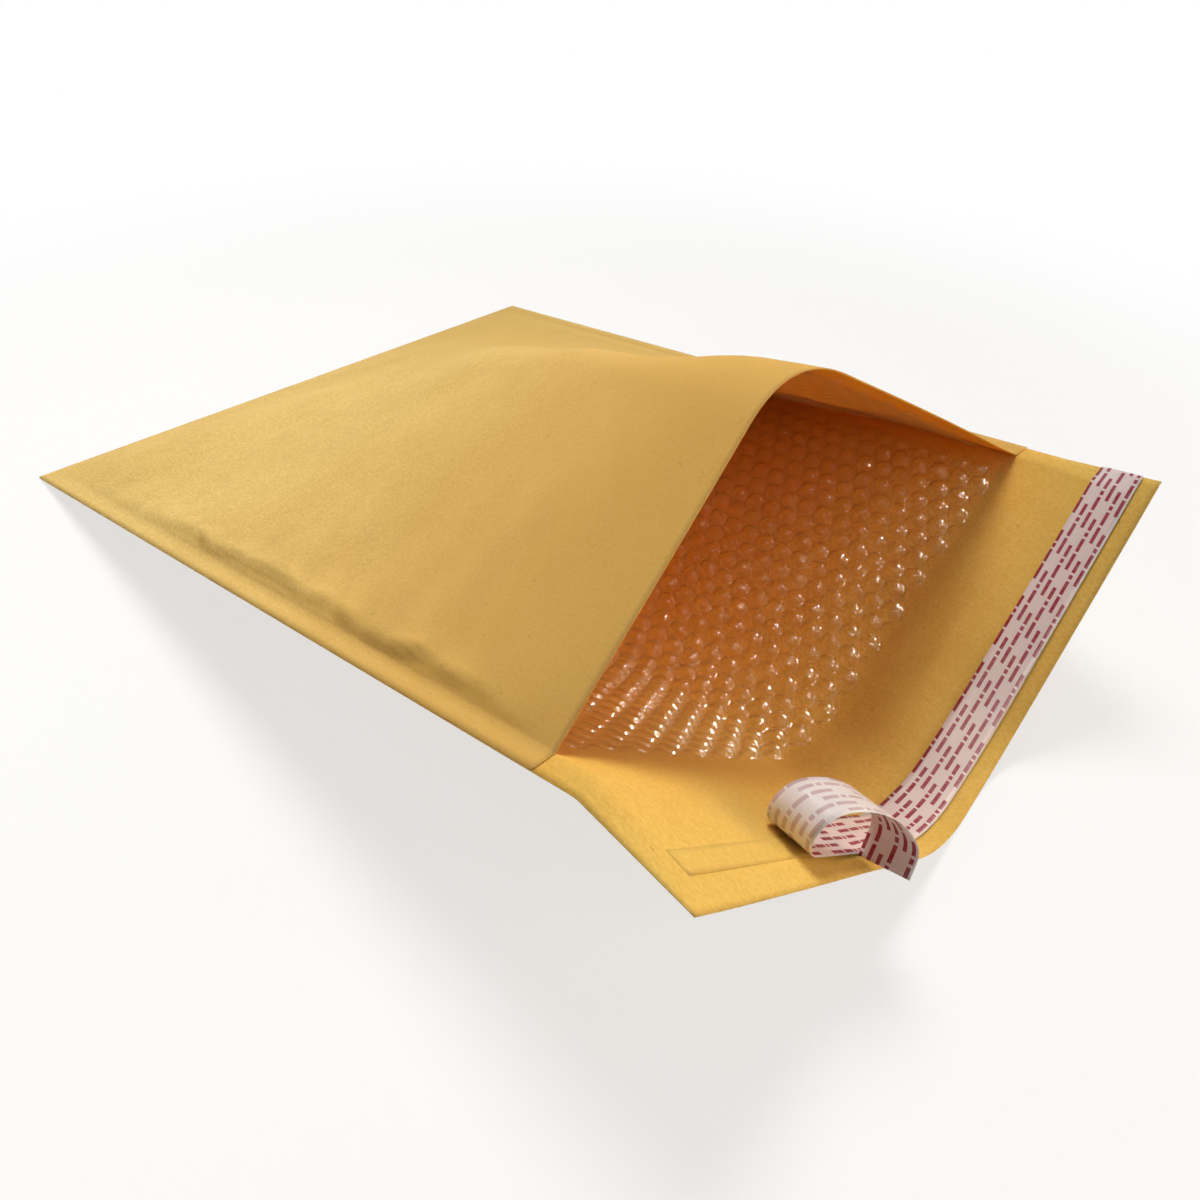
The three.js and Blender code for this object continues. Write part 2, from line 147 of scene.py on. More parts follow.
@dataclass(frozen=True)
class PocketPose:
    """How the pocket and its flap lie open, in millimetres and degrees."""

    trough_at_end: float = 81.0
    trough_at_mouth: float = 105.0
    trough_across: float = 92.0
    trough_width: float = 20.0
    trough_rounding: float = 6.0
    near_rise: float = 36.0
    far_rise: float = 29.0
    ridge_at_end: float = 154.0
    ridge_at_mouth: float = 104.0
    ridge_rounding: float = 9.0
    ridge_softening: float = 5.0
    mouth_rounding: float = 11.0
    mouth_arch: float = 75.0
    rounding_share: float = 0.45
    pad_fade: float = 50.0
    flap_trough_at: float = 116.0
    flap_trough_across: float = 104.0
    flap_trough_width: float = 33.0
    flap_rounding: float = 14.0
    flap_near_rise: float = 31.5
    flap_far_rise: float = 43.5
    rest_share: float = 0.4


@dataclass(frozen=True)
class PaperRelief:
    """Swells and wrinkles that the padding leaves in the paper, in millimetres."""

    side_rise: float = 1.5
    side_reach: float = 6.0
    side_start: Pair = (10.0, 90.0)
    end_rise: float = 1.8
    end_reach: float = 15.0
    swell_height: float = 1.9
    swell_size: float = 36.0
    swell_stretch: float = 0.34
    crease_height: float = 1.7
    crease_fade: float = 36.0
    crease_patch: float = 45.0
    patch_level: float = 0.7
    ridge_reach: float = 24.0
    far_share: float = 0.55
    crease_size: float = 9.5
    crease_stretch: float = 0.2
    crease_slant: float = 0.15
    clear_of_seam: float = 14.0
    lump_height: float = 1.9
    lump_reach: float = 1.4
    lump_size: float = 10.0
    lump_level: float = 0.75
    lump_swing: float = 0.8
    lump_least: float = 0.12
    fine_lumps: float = 2.4
    fine_swing: float = 0.25
    lump_wander: float = 2.0
    wander_size: float = 16.0
    lump_start: Pair = (50.0, 130.0)
    lump_stop: Pair = (260.0, 226.0)
    pucker_height: float = 0.9
    pucker_size: float = 7.5
    pucker_reach: float = 20.0
    pucker_slant: float = 0.5
    pucker_stretch: float = 0.25
    lump_seed: float = 4.3
    swell_seed: float = 1.7
    wander_seed: float = 6.7
    back_share: float = 0.45
    back_clear: Pair = (3.0, 14.0)


class Section:
    """Cross line of a panel: straight runs with rounded bends, measured along its own length."""

    def __init__(self, corners: Sequence[Vector], cuts: Sequence[float], share: float) -> None:
        """Lays the line through its corners.

        Args:
            corners: the corners in order, ends included.
            cuts: how much of each inner corner is rounded off.
            share: most of the shorter run beside a corner that its rounding may take.
        """
        points = [corners[0].copy()]
        for before, corner, after, cut in zip(corners, corners[1:], corners[2:], cuts):
            reach = min(cut, share * min((before - corner).length, (after - corner).length))
            if reach <= 0.0:
                points.append(corner.copy())
                continue
            start = corner + (before - corner).normalized() * reach
            stop = corner + (after - corner).normalized() * reach
            for step in spread(0.0, 1.0, BEND_DETAIL):
                points.append(start.lerp(corner, step).lerp(corner.lerp(stop, step), step))
        points.append(corners[-1].copy())
        self.points = points
        self.stops = [0.0]
        for first, second in zip(points, points[1:]):
            self.stops.append(self.stops[-1] + (second - first).length)

    @property
    def length(self) -> float:
        """Length of the whole line."""
        return self.stops[-1]

    def at(self, distance: float) -> Vector:
        """Point at a distance along the line.

        Args:
            distance: from the first corner, held to the line's ends.

        Returns:
            The point.
        """
        held = min(self.length, max(0.0, distance))
        k = min(max(bisect.bisect_right(self.stops, held) - 1, 0), len(self.points) - 2)
        run = self.stops[k + 1] - self.stops[k]
        share = (held - self.stops[k]) / run if run > 0.0 else 0.0
        return self.points[k].lerp(self.points[k + 1], share)


@dataclass(frozen=True)
class PaperLine:
    """Straight line on the paper from the closed end to the mouth."""

    start: Vector
    end: Vector
    fold_band: float
    run: float

    def at(self, along: float) -> Vector:
        """Point of the line.

        Args:
            along: flat distance from the closed end.

        Returns:
            The point.
        """
        if along <= self.fold_band:
            return Vector((along, self.start.y, 0.0))
        return self.start.lerp(self.end, (along - self.fold_band) / self.run)

    @property
    def heading(self) -> Vector:
        """Direction of the line."""
        return (self.end - self.start).normalized()


class Panel:
    """One panel of the pocket, as a surface over the flat sheet."""

    def __init__(
        self,
        cut: PaperCut,
        pose: PocketPose,
        lines: Sequence[PaperLine],
        rounding: Callable[[float], float],
        lift: Callable[[float, float, float], float],
        level: float,
    ) -> None:
        """Keeps what shapes the panel.

        Args:
            cut: the flat sizes.
            pose: how the pocket lies.
            lines: the folds that its cross lines run through.
            rounding: rounding of the inner folds at a distance from the closed end.
            lift: height above the plain surface from place across, width and place along.
            level: height of the sheet's middle over the table.
        """
        self.cut = cut
        self.pose = pose
        self.lines = lines
        self.rounding = rounding
        self.lift = lift
        self.level = level
        self.flap_edge: Section | None = None
        self._sections: dict[float, Section] = {}

    def section(self, along: float) -> Section:
        """Cross line of the panel, worked out once for each place.

        Args:
            along: flat distance from the closed end.

        Returns:
            The cross line.
        """
        key = round(along, SECTION_PLACES)
        if key not in self._sections:
            corners = [line.at(key) for line in self.lines]
            inner = [self.rounding(key)] * (len(corners) - SEAM_CORNERS)
            self._sections[key] = Section(corners, [0.0, *inner, 0.0], self.pose.rounding_share)
        return self._sections[key]

    def width_at(self, along: float) -> float:
        """Length of the cross line at a distance from the closed end; the flap keeps the mouth's."""
        return self.section(min(along, self.cut.pocket_length)).length

    def point(self, across: float, along: float) -> Vector:
        """Point on the sheet's middle.

        Args:
            across: distance along the cross line from the near edge.
            along: flat distance from the closed end; past the mouth it lies on the flap.

        Returns:
            The point, in millimetres.
        """
        section = self.section(min(along, self.cut.pocket_length))
        place = section.at(across)
        if along > self.cut.pocket_length:
            place = self._flap_point(across / section.length, place, along - self.cut.pocket_length)
        place.z += self.level + self.lift(across, section.length, along)
        return place

    def _flap_point(self, share: float, mouth: Vector, past: float) -> Vector:
        """Point of the flap, straight on to the bend and then straight to the free edge.

        Args:
            share: place across the sheet, from 0 to 1.
            mouth: point of the mouth at that place.
            past: flat distance past the mouth.

        Returns:
            The point.
        """
        before = self.section(self.cut.pocket_length - HEADING_STEP)
        heading = (mouth - before.at(share * before.length)).normalized()
        if past <= self.cut.flap_bend:
            return mouth + heading * past
        bend = mouth + heading * self.cut.flap_bend
        free = self.flap_edge.at(share * self.flap_edge.length)
        return bend.lerp(free, (past - self.cut.flap_bend) / (self.cut.flap_length - self.cut.flap_bend))

    def normal(self, across: float, along: float) -> Vector:
        """Upward normal of the sheet.

        Args:
            across: distance along the cross line from the near edge.
            along: flat distance from the closed end.

        Returns:
            The normal, of length 1.
        """
        side = self.point(across + PROBE, along) - self.point(across - PROBE, along)
        ahead = self.point(across, along + PROBE) - self.point(across, max(along - PROBE, 0.0))
        return ahead.cross(side).normalized()

    def offset(self, across: float, along: float, height: float) -> Vector:
        """Point at a height over the sheet's middle, along its normal."""
        return self.point(across, along) + self.normal(across, along) * height


class Pocket:
    """The folded sheet: its fold lines, its two panels and the way from millimetres to the frame."""

    def __init__(self, cut: PaperCut, pose: PocketPose, relief: PaperRelief) -> None:
        """Works out the folds from the flat sizes.

        Args:
            cut: the flat sizes.
            pose: how the pocket lies.
            relief: swells and wrinkles of the paper.
        """
        self.cut = cut
        self.pose = pose
        self.relief = relief
        half = pose.trough_width / 2.0
        near_trough = Vector((pose.trough_across - half, 0.0))
        far_trough = Vector((pose.trough_across + half, 0.0))
        near_face = pose.trough_at_mouth - half - cut.seam_width
        far_face = cut.width - cut.seam_width - pose.trough_at_mouth - half
        near_root = self._climb(near_trough, near_face, pose.near_rise, -1.0)
        far_root = self._climb(far_trough, far_face, pose.far_rise, 1.0)
        seam = Vector((cut.seam_width, 0.0))
        near_edge = self._line(0.0, 0.0, near_root - seam)
        near = self._line(cut.seam_width, cut.seam_width, near_root)
        trough_near = self._line(pose.trough_at_end - half, pose.trough_at_mouth - half, near_trough)
        trough_far = self._line(pose.trough_at_end + half, pose.trough_at_mouth + half, far_trough)
        ridge = self._line(pose.ridge_at_end, pose.ridge_at_mouth, self._ridge(near_root, far_root))
        far = self._line(cut.width - cut.seam_width, cut.width - cut.seam_width, far_root)
        far_edge = self._line(cut.width, cut.width, far_root + seam)
        self.back = Panel(
            cut,
            pose,
            [near_edge, near, trough_near, trough_far, far, far_edge],
            lambda along: pose.trough_rounding,
            self._back_lift,
            cut.floor_level,
        )
        self.front = Panel(
            cut,
            pose,
            [near_edge, near, ridge, far, far_edge],
            self._ridge_rounding,
            self._front_lift,
            cut.floor_level + cut.seam_step,
        )
        self.back.flap_edge = self._flap_edge(near_edge, trough_near, trough_far, far_edge)
        middle = cut.pocket_length / 2.0
        self.rest = trough_near.at(middle).lerp(trough_far.at(middle), pose.rest_share)

    def _climb(self, start: Vector, distance: float, rise: float, side: float) -> Vector:
        """Corner up a slope from another, as (across, up); side is 1 towards the far seam, else -1."""
        angle = math.radians(rise)
        return start + Vector((side * distance * math.cos(angle), distance * math.sin(angle)))

    def _line(self, at_end: float, at_mouth: float, mouth: Vector) -> PaperLine:
        """Fold line that is as long in space as on the flat sheet.

        Args:
            at_end: flat place across at the closed end.
            at_mouth: flat place across at the mouth.
            mouth: (across, up) of its end at the open mouth.

        Returns:
            The line.
        """
        run = self.cut.pocket_length - self.cut.fold_band
        flat = math.hypot(run, at_mouth - at_end)
        along = math.sqrt(flat**2 - (mouth.x - at_end) ** 2 - mouth.y**2)
        start = Vector((self.cut.fold_band, at_end, 0.0))
        return PaperLine(start, start + Vector((along, mouth.x - at_end, mouth.y)), self.cut.fold_band, run)

    def _ridge(self, near: Vector, far: Vector) -> Vector:
        """Apex of the front panel over its two seams, from the lengths of its two faces.

        Args:
            near: (across, up) of the near seam at the mouth.
            far: (across, up) of the far seam at the mouth.

        Returns:
            (across, up) of the apex.
        """
        near_face = self.pose.ridge_at_mouth - self.cut.seam_width
        far_face = self.cut.width - self.cut.seam_width - self.pose.ridge_at_mouth
        span = (far - near).length
        foot = (near_face**2 - far_face**2 + span**2) / (2.0 * span)
        level = (far - near).normalized()
        return near + level * foot + Vector((-level.y, level.x)) * math.sqrt(near_face**2 - foot**2)

    def _ridge_rounding(self, along: float) -> float:
        """Rounding of the ridge: soft at the closed end, sharper after it, an arch at the mouth.

        Args:
            along: distance from the closed end.

        Returns:
            How much of the corner is rounded off.
        """
        pose, mouth = self.pose, self.cut.pocket_length
        arch = pose.mouth_rounding * ease(along, mouth - pose.mouth_arch, mouth)
        return pose.ridge_rounding + pose.ridge_softening * (1.0 - along / mouth) + arch

    def _flap_edge(self, near: PaperLine, low: PaperLine, high: PaperLine, far: PaperLine) -> Section:
        """Free edge of the flap, each corner at its own flat distance from the bend.

        Args:
            near: the near edge of the sheet.
            low: the near side of the trough.
            high: the far side of the trough.
            far: the far edge of the sheet.

        Returns:
            The edge as a cross line.
        """
        pose, cut = self.pose, self.cut
        half = pose.flap_trough_width / 2.0
        trough_near = Vector((pose.flap_trough_across - half, 0.0))
        trough_far = Vector((pose.flap_trough_across + half, 0.0))
        near_face = pose.flap_trough_at - half
        far_face = cut.width - pose.flap_trough_at - half
        places = [
            (near, self._climb(trough_near, near_face, pose.flap_near_rise, -1.0)),
            (low, trough_near),
            (high, trough_far),
            (far, self._climb(trough_far, far_face, pose.flap_far_rise, 1.0)),
        ]
        corners = []
        for line, place in places:
            bend = line.end + line.heading * cut.flap_bend
            reach = cut.flap_length - cut.flap_bend
            run = math.sqrt(reach**2 - (place.x - bend.y) ** 2 - (place.y - bend.z) ** 2)
            corners.append(Vector((bend.x + run, place.x, place.y)))
        return Section(corners, [pose.flap_rounding, pose.flap_rounding], pose.rounding_share)

    def _front_lift(self, across: float, width: float, along: float) -> float:
        """Height that the padding gives the front panel.

        Args:
            across: place across the panel.
            width: width of the panel there.
            along: distance from the closed end.

        Returns:
            The height.
        """
        cut, relief = self.cut, self.relief
        near = max(0.0, across - cut.seam_width)
        side = max(0.0, min(near, width - cut.seam_width - across))
        end = max(0.0, along - cut.fold_band)
        at_mouth = ratio(along, cut.pocket_length, cut.pocket_length - self.pose.pad_fade)
        lift = relief.side_rise * ease(along, *relief.side_start) * hump(side / relief.side_reach)
        lift += relief.end_rise * hump(end / relief.end_reach) * ratio(side, 0.0, relief.clear_of_seam)
        grown = ease(along, *relief.lump_start) * ease(along, *relief.lump_stop)
        coarse = ripple(along, 0.0, relief.lump_size, relief.lump_seed)
        uneven = relief.lump_level + relief.lump_swing * coarse
        fine_size = relief.lump_size / relief.fine_lumps
        uneven += relief.fine_swing * ripple(along, 0.0, fine_size, relief.swell_seed)
        wander = relief.lump_wander * (1.0 + ripple(along, 0.0, relief.wander_size, relief.wander_seed))
        crest = hump(max(0.0, near - wander) / relief.lump_reach)
        lump = relief.lump_height * max(relief.lump_least, uneven) * crest
        slanted = along + relief.pucker_slant * across
        pucker = ripple(slanted, relief.pucker_stretch * across, relief.pucker_size, relief.lump_seed)
        lump += relief.pucker_height * pucker * hump(near / relief.pucker_reach)
        swell = self._swell(across, along, self._slack(across, along))
        return lift * at_mouth + lump * grown + swell * ratio(min(side, end), 0.0, relief.clear_of_seam)

    def _slack(self, across: float, along: float) -> float:
        """How freely the front panel creases: not at all on its ridge and at the mouth, less on the far side.

        Args:
            across: place across the panel.
            along: distance from the closed end.

        Returns:
            The share, from 0 to 1.
        """
        pose, relief, mouth = self.pose, self.relief, self.cut.pocket_length
        past = across - pose.ridge_at_end - (pose.ridge_at_mouth - pose.ridge_at_end) * along / mouth
        slack = ease(abs(past), 0.0, relief.ridge_reach) * ease(along, mouth, mouth - relief.crease_fade)
        return slack * (relief.far_share if past > 0.0 else 1.0)

    def _back_lift(self, across: float, width: float, along: float) -> float:
        """Height of the back panel's and the flap's own swells; the trough stays flat on the table.

        Args:
            across: place across the panel.
            width: width of the panel there.
            along: distance from the closed end.

        Returns:
            The height.
        """
        relief = self.relief
        inside = max(0.0, min(across, width - across))
        plain = self.back.section(min(along, self.cut.pocket_length)).at(across).z
        raised = ratio(plain, *relief.back_clear) * ratio(inside, 0.0, relief.clear_of_seam)
        return relief.back_share * raised * self._swell(across, along + self.cut.flat_length, 1.0)

    def _swell(self, across: float, along: float, slack: float) -> float:
        """Soft swells and finer creases of the paper.

        Args:
            across: place across the sheet.
            along: place along the sheet.
            slack: share of the creases.

        Returns:
            The height.
        """
        relief = self.relief
        swell = ripple(along, relief.swell_stretch * across, relief.swell_size, relief.swell_seed)
        shifted = along + relief.crease_slant * across
        crease = ripple(shifted, relief.crease_stretch * across, relief.crease_size, relief.lump_seed)
        patch = max(0.0, relief.patch_level + ripple(along, across, relief.crease_patch, relief.swell_seed))
        return relief.swell_height * swell + relief.crease_height * slack * patch * crease

    def place(self, point: Vector) -> Vector:
        """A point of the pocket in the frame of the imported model, in metres."""
        return (point - self.rest) * MM


# Shader graphs


class Value:
    """A shader socket that takes part in arithmetic."""

    def __init__(self, graph: Graph, socket: bpy.types.NodeSocket) -> None:
        """Wraps a socket.

        Args:
            graph: the graph that new nodes go into.
            socket: the output socket.
        """
        self.graph = graph
        self.socket = socket

    def _math(self, operation: str, first: Number, second: Number | None = None) -> Value:
        """Result of one Math node on one or two values."""
        inputs = {0: first} if second is None else {0: first, 1: second}
        return self.graph.value("ShaderNodeMath", {"operation": operation}, inputs)

    def __add__(self, other: Number) -> Value:
        """Sum."""
        return self._math("ADD", self, other)

    __radd__ = __add__

    def __sub__(self, other: Number) -> Value:
        """Difference."""
        return self._math("SUBTRACT", self, other)

    def __rsub__(self, other: Number) -> Value:
        """Difference from a number."""
        return self._math("SUBTRACT", other, self)

    def __mul__(self, other: Number) -> Value:
        """Product."""
        return self._math("MULTIPLY", self, other)

    __rmul__ = __mul__

    def __truediv__(self, other: Number) -> Value:
        """Quotient."""
        return self._math("DIVIDE", self, other)

    def __gt__(self, other: Number) -> Value:
        """1 where this is greater, else 0."""
        return self._math("GREATER_THAN", self, other)

    def __lt__(self, other: Number) -> Value:
        """1 where this is less, else 0."""
        return self._math("LESS_THAN", self, other)

    def __abs__(self) -> Value:
        """Size without its sign."""
        return self._math("ABSOLUTE", self)

    def floor(self) -> Value:
        """Whole number below."""
        return self._math("FLOOR", self)

    def fraction(self) -> Value:
        """Part after the whole number."""
        return self._math("FRACT", self)

    def ease(self, start: float, stop: float) -> Value:
        """Soft step from 0 at start to 1 at stop."""
        return self.graph.value(
            "ShaderNodeMapRange", {"interpolation_type": "SMOOTHSTEP"}, {"Value": self, 1: start, 2: stop}
        )


class Graph:
    """Node graph of one material, or of the sky."""

    def __init__(self, name: str, output: str = "ShaderNodeOutputMaterial") -> None:
        """Starts an empty material or sky.

        Args:
            name: its name.
            output: the type of its last node.
        """
        makers = {"ShaderNodeOutputMaterial": bpy.data.materials, "ShaderNodeOutputWorld": bpy.data.worlds}
        self.output = output
        self.material = makers[output].new(name)
        self.material.use_nodes = True
        self.tree = self.material.node_tree
        self.tree.nodes.clear()

    def node(
        self,
        kind: str,
        settings: dict[str, object] | None = None,
        inputs: dict[str | int, object] | None = None,
    ) -> bpy.types.Node:
        """Adds a node, sets it up and feeds it.

        Args:
            kind: the node's type.
            settings: its settings; "stops", as (place, color) pairs, and "interpolation" are a ramp's.
            inputs: values, wrapped sockets or sockets by input name or number.

        Returns:
            The node.
        """
        node = self.tree.nodes.new(kind)
        for key, setting in (settings or {}).items():
            if key == "stops":
                self._set_stops(node.color_ramp, setting)
            else:
                setattr(node.color_ramp if key == "interpolation" else node, key, setting)
        for key, entry in (inputs or {}).items():
            if isinstance(entry, Value):
                self.tree.links.new(entry.socket, node.inputs[key])
            elif isinstance(entry, bpy.types.NodeSocket):
                self.tree.links.new(entry, node.inputs[key])
            else:
                node.inputs[key].default_value = entry
        return node

    def _set_stops(self, ramp: bpy.types.ColorRamp, stops: Iterable[tuple[float, Color]]) -> None:
        """Gives a ramp its stops.

        Args:
            ramp: the ramp, with its two default stops.
            stops: (place, color) pairs in order.
        """
        stops = list(stops)
        while len(ramp.elements) < len(stops):
            ramp.elements.new(1.0)
        for element, (place, color) in zip(ramp.elements, stops):
            element.position = place
            element.color = color

    def value(
        self,
        kind: str,
        settings: dict[str, object] | None = None,
        inputs: dict[str | int, object] | None = None,
        output: str | int = 0,
    ) -> Value:
        """Adds a node and wraps one of its outputs, given by its name or number."""
        return Value(self, self.node(kind, settings, inputs).outputs[output])

    def place(self, scale: Triple = (1.0, 1.0, 1.0)) -> Value:
        """Object coordinates, in metres, stretched along the axes."""
        source = self.value("ShaderNodeTexCoord", output="Object")
        return self.value("ShaderNodeMapping", inputs={"Vector": source, "Scale": scale})

    def flat(self) -> tuple[Value, Value]:
        """Places on the flat sheet, from its UV map.

        Returns:
            The places across and along, in metres.
        """
        source = self.value("ShaderNodeTexCoord", output="UV")
        split = self.node("ShaderNodeSeparateXYZ", inputs={0: source})
        return Value(self, split.outputs[0]), Value(self, split.outputs[1])

    def noise(self, place: Value, grain: Grain) -> Value:
        """Fractal noise between 0 and 1."""
        octaves = {"Detail": grain.detail, "Roughness": grain.roughness}
        return self.value("ShaderNodeTexNoise", inputs={"Vector": place, "Scale": grain.scale, **octaves})

    def mix(self, share: Number, first: Color | Value, second: Color | Value) -> Value:
        """Blend of two colors; the share is the second one's."""
        settings = {"data_type": "RGBA", "clamp_factor": True}
        return self.value("ShaderNodeMix", settings, {0: share, 6: first, 7: second}, 2)

    def bump(self, height: Value, distance: float) -> Value:
        """Normal from a height between 0 and 1; the distance is what 1 stands for, in metres."""
        return self.value("ShaderNodeBump", inputs={"Height": height, "Distance": distance})

    def finish(self, sockets: dict[str, object]) -> bpy.types.Material:
        """Ends the graph in a Principled shader, fed by input name, and gives the material."""
        self.end(self.node("ShaderNodeBsdfPrincipled", inputs=sockets))
        return self.material

    def end(self, shader: bpy.types.Node) -> None:
        """Makes a shader node the graph's result."""
        self.node(self.output, inputs={"Surface": shader.outputs[0]})

    def seen(self) -> Value:
        """Picks out the rays that end in the picture.

        Returns:
            1 for rays of the camera, of reflections and of clear film, else 0.
        """
        path = self.node("ShaderNodeLightPath")
        kinds = ("Is Camera Ray", "Is Glossy Ray", "Is Transmission Ray")
        camera, glossy, clear = (Value(self, path.outputs[kind]) for kind in kinds)
        return (camera + glossy + clear) > 0.5


# Finishes


@dataclass(frozen=True)
class Grain:
    """Fractal noise of a finish: swells per metre, octaves and the strength of the finer ones."""

    scale: float
    detail: float = 2.0
    roughness: float = 0.5


@dataclass(frozen=True)
class KraftFinish:
    """Brown kraft paper with soft blotches, fine fibres and a few darker flecks, and painted shade: a darker,
    warmer colour over a range of its length and a darker tone over the far part of its width.
    """

    name: str
    light: Color
    dark: Color
    fleck: Color
    # Painted shade: a darker, warmer colour that the paper is drawn to over a range of its flat length, and
    # the share it takes there.
    painted_shade: Color
    painted_shade_range: Pair
    painted_shade_share: float
    # Painted shade: share of the light tone taken away over a range across the flat width.
    far_share: float = 0.0
    far_shade_range: Pair = (0.115, 0.17)
    roughness: float = 0.82
    roughness_swing: float = 0.12
    specular: float = 0.06
    blotch: Grain = Grain(26.0)
    mottle: Grain = Grain(210.0, 3.0, 0.55)
    fibre: Grain = Grain(1400.0, 3.0, 0.6)
    fibre_stretch: Triple = (0.65, 1.0, 1.0)
    tone_shares: Triple = (0.3, 0.2, 0.7)
    light_tones: Pair = (0.4, 0.8)
    # Grain of the painted shade: where the tone is high, it leans by up to this share towards the dark paper
    # colour.
    painted_shade_tones: Pair = (0.2, 1.2)
    painted_shade_dark: float = 0.5
    fleck_grain: Grain = Grain(640.0, 1.0)
    fleck_tones: Pair = (0.72, 0.8)
    fleck_share: float = 0.3
    bump_height: float = 0.00012
    bump_shares: Pair = (0.6, 0.4)

    def material(self) -> bpy.types.Material:
        """Makes the finish.

        Returns:
            The new material.
        """
        graph = Graph(self.name)
        place = graph.place()
        fibre = graph.noise(graph.place(self.fibre_stretch), self.fibre)
        mottle = graph.noise(place, self.mottle)
        blotch = graph.noise(place, self.blotch)
        blotch_share, mottle_share, fibre_share = self.tone_shares
        tone = blotch * blotch_share + mottle * mottle_share + fibre * fibre_share
        across, along = graph.flat()
        # Painted shade: the light tone fades out over the far part of the width.
        light = tone.ease(*self.light_tones) * (1.0 - across.ease(*self.far_shade_range) * self.far_share)
        paper = graph.mix(light, self.dark, self.light)
        # Painted shade over part of the length, grained by the paper's tone.
        shaded_paper = graph.mix(tone.ease(*self.painted_shade_tones) * self.painted_shade_dark, self.painted_shade, self.dark)
        paper = graph.mix(along.ease(*self.painted_shade_range) * self.painted_shade_share, paper, shaded_paper)
        flecks = graph.noise(graph.place(self.fibre_stretch), self.fleck_grain).ease(*self.fleck_tones)
        fibre_rise, mottle_rise = self.bump_shares
        return graph.finish(
            {
                "Base Color": graph.mix(flecks * self.fleck_share, paper, self.fleck),
                "Roughness": mottle * self.roughness_swing + (self.roughness - self.roughness_swing / 2.0),
                "Specular IOR Level": self.specular,
                "Normal": graph.bump(fibre * fibre_rise + mottle * mottle_rise, self.bump_height),
            }
        )


@dataclass(frozen=True)
class FilmFinish:
    """Clear thin plastic film, seen by its gloss and its crinkles."""

    name: str = "clear_bubble_film"
    tint: Color = (1.0, 0.90, 0.70, 1.0)
    roughness: float = 0.095
    mirror: float = 0.85
    haze: float = 0.006
    gloss: float = 0.27
    refraction: float = 1.45
    crinkle_scale: float = 600.0
    crinkle_stretch: Triple = (1.0, 0.5, 1.0)
    crinkle_height: float = 0.00016

    def material(self) -> bpy.types.Material:
        """Makes the finish.

        Returns:
            The new material.
        """
        graph = Graph(self.name)
        crinkle = graph.value(
            "ShaderNodeTexVoronoi",
            inputs={"Vector": graph.place(self.crinkle_stretch), "Scale": self.crinkle_scale},
            output="Distance",
        )
        normal = graph.bump(crinkle, self.crinkle_height)
        mirror = graph.value("ShaderNodeFresnel", inputs={"IOR": self.refraction, "Normal": normal})
        return graph.finish(
            {
                "Base Color": self.tint,
                "Metallic": self.mirror,
                "Roughness": self.roughness,
                "Alpha": mirror * self.gloss + self.haze,
                "Normal": normal,
            }
        )


@dataclass(frozen=True)
class StripFinish:
    """Coated release paper; plain marks in staggered rows on its printed side."""

    name: str
    paper: Color = (0.76, 0.645, 0.635, 1.0)
    ink: Color = (0.29, 0.012, 0.032, 1.0)
    strength: float = 1.0
    ink_level: float = 0.8
    ink_swing: float = 0.3
    roughness: float = 0.42
    roughness_swing: float = 0.1
    specular: float = 0.2
    grain: Grain = Grain(700.0)
    bump_height: float = 0.00003
    mottle: Grain = Grain(60.0)
    mottle_tones: Pair = (0.3, 0.8)
    mottle_dark: float = 0.93
    row_pitch: float = 2.3 * MM
    first_row: float = 0.35
    mark_height: float = 0.46
    period: float = 21.0 * MM
    row_shift: float = 0.43
    marks: tuple[Pair, ...] = ((0.02, 0.19), (0.22, 0.28), (0.31, 0.50), (0.53, 0.76))

    def material(self) -> bpy.types.Material:
        """Makes the finish.

        Returns:
            The new material.
        """
        graph = Graph(self.name)
        across, along = graph.flat()
        row = across / self.row_pitch + self.first_row
        run = (along / self.period + row.floor() * self.row_shift).fraction()
        clear, full = (0.0, 0.0, 0.0, 1.0), (1.0, 1.0, 1.0, 1.0)
        stops: list[tuple[float, Color]] = [(0.0, clear)]
        for start, stop in self.marks:
            stops += [(start, full), (stop, clear)]
        bars = graph.value("ShaderNodeValToRGB", {"stops": stops, "interpolation": "CONSTANT"}, {0: run})
        band = abs(row.fraction() - 0.5) < self.mark_height / 2.0
        place = graph.place()
        grain = graph.noise(place, self.grain)
        ink = bars * band * (grain * self.ink_swing + self.ink_level) * self.strength
        mottle = graph.noise(place, self.mottle)
        darker = tuple(self.mottle_dark * part for part in self.paper[:3]) + (1.0,)
        paper = graph.mix(mottle.ease(*self.mottle_tones), self.paper, darker)
        return graph.finish(
            {
                "Base Color": graph.mix(ink, paper, self.ink),
                "Roughness": mottle * self.roughness_swing + (self.roughness - self.roughness_swing / 2.0),
                "Specular IOR Level": self.specular,
                "Normal": graph.bump(grain, self.bump_height),
            }
        )


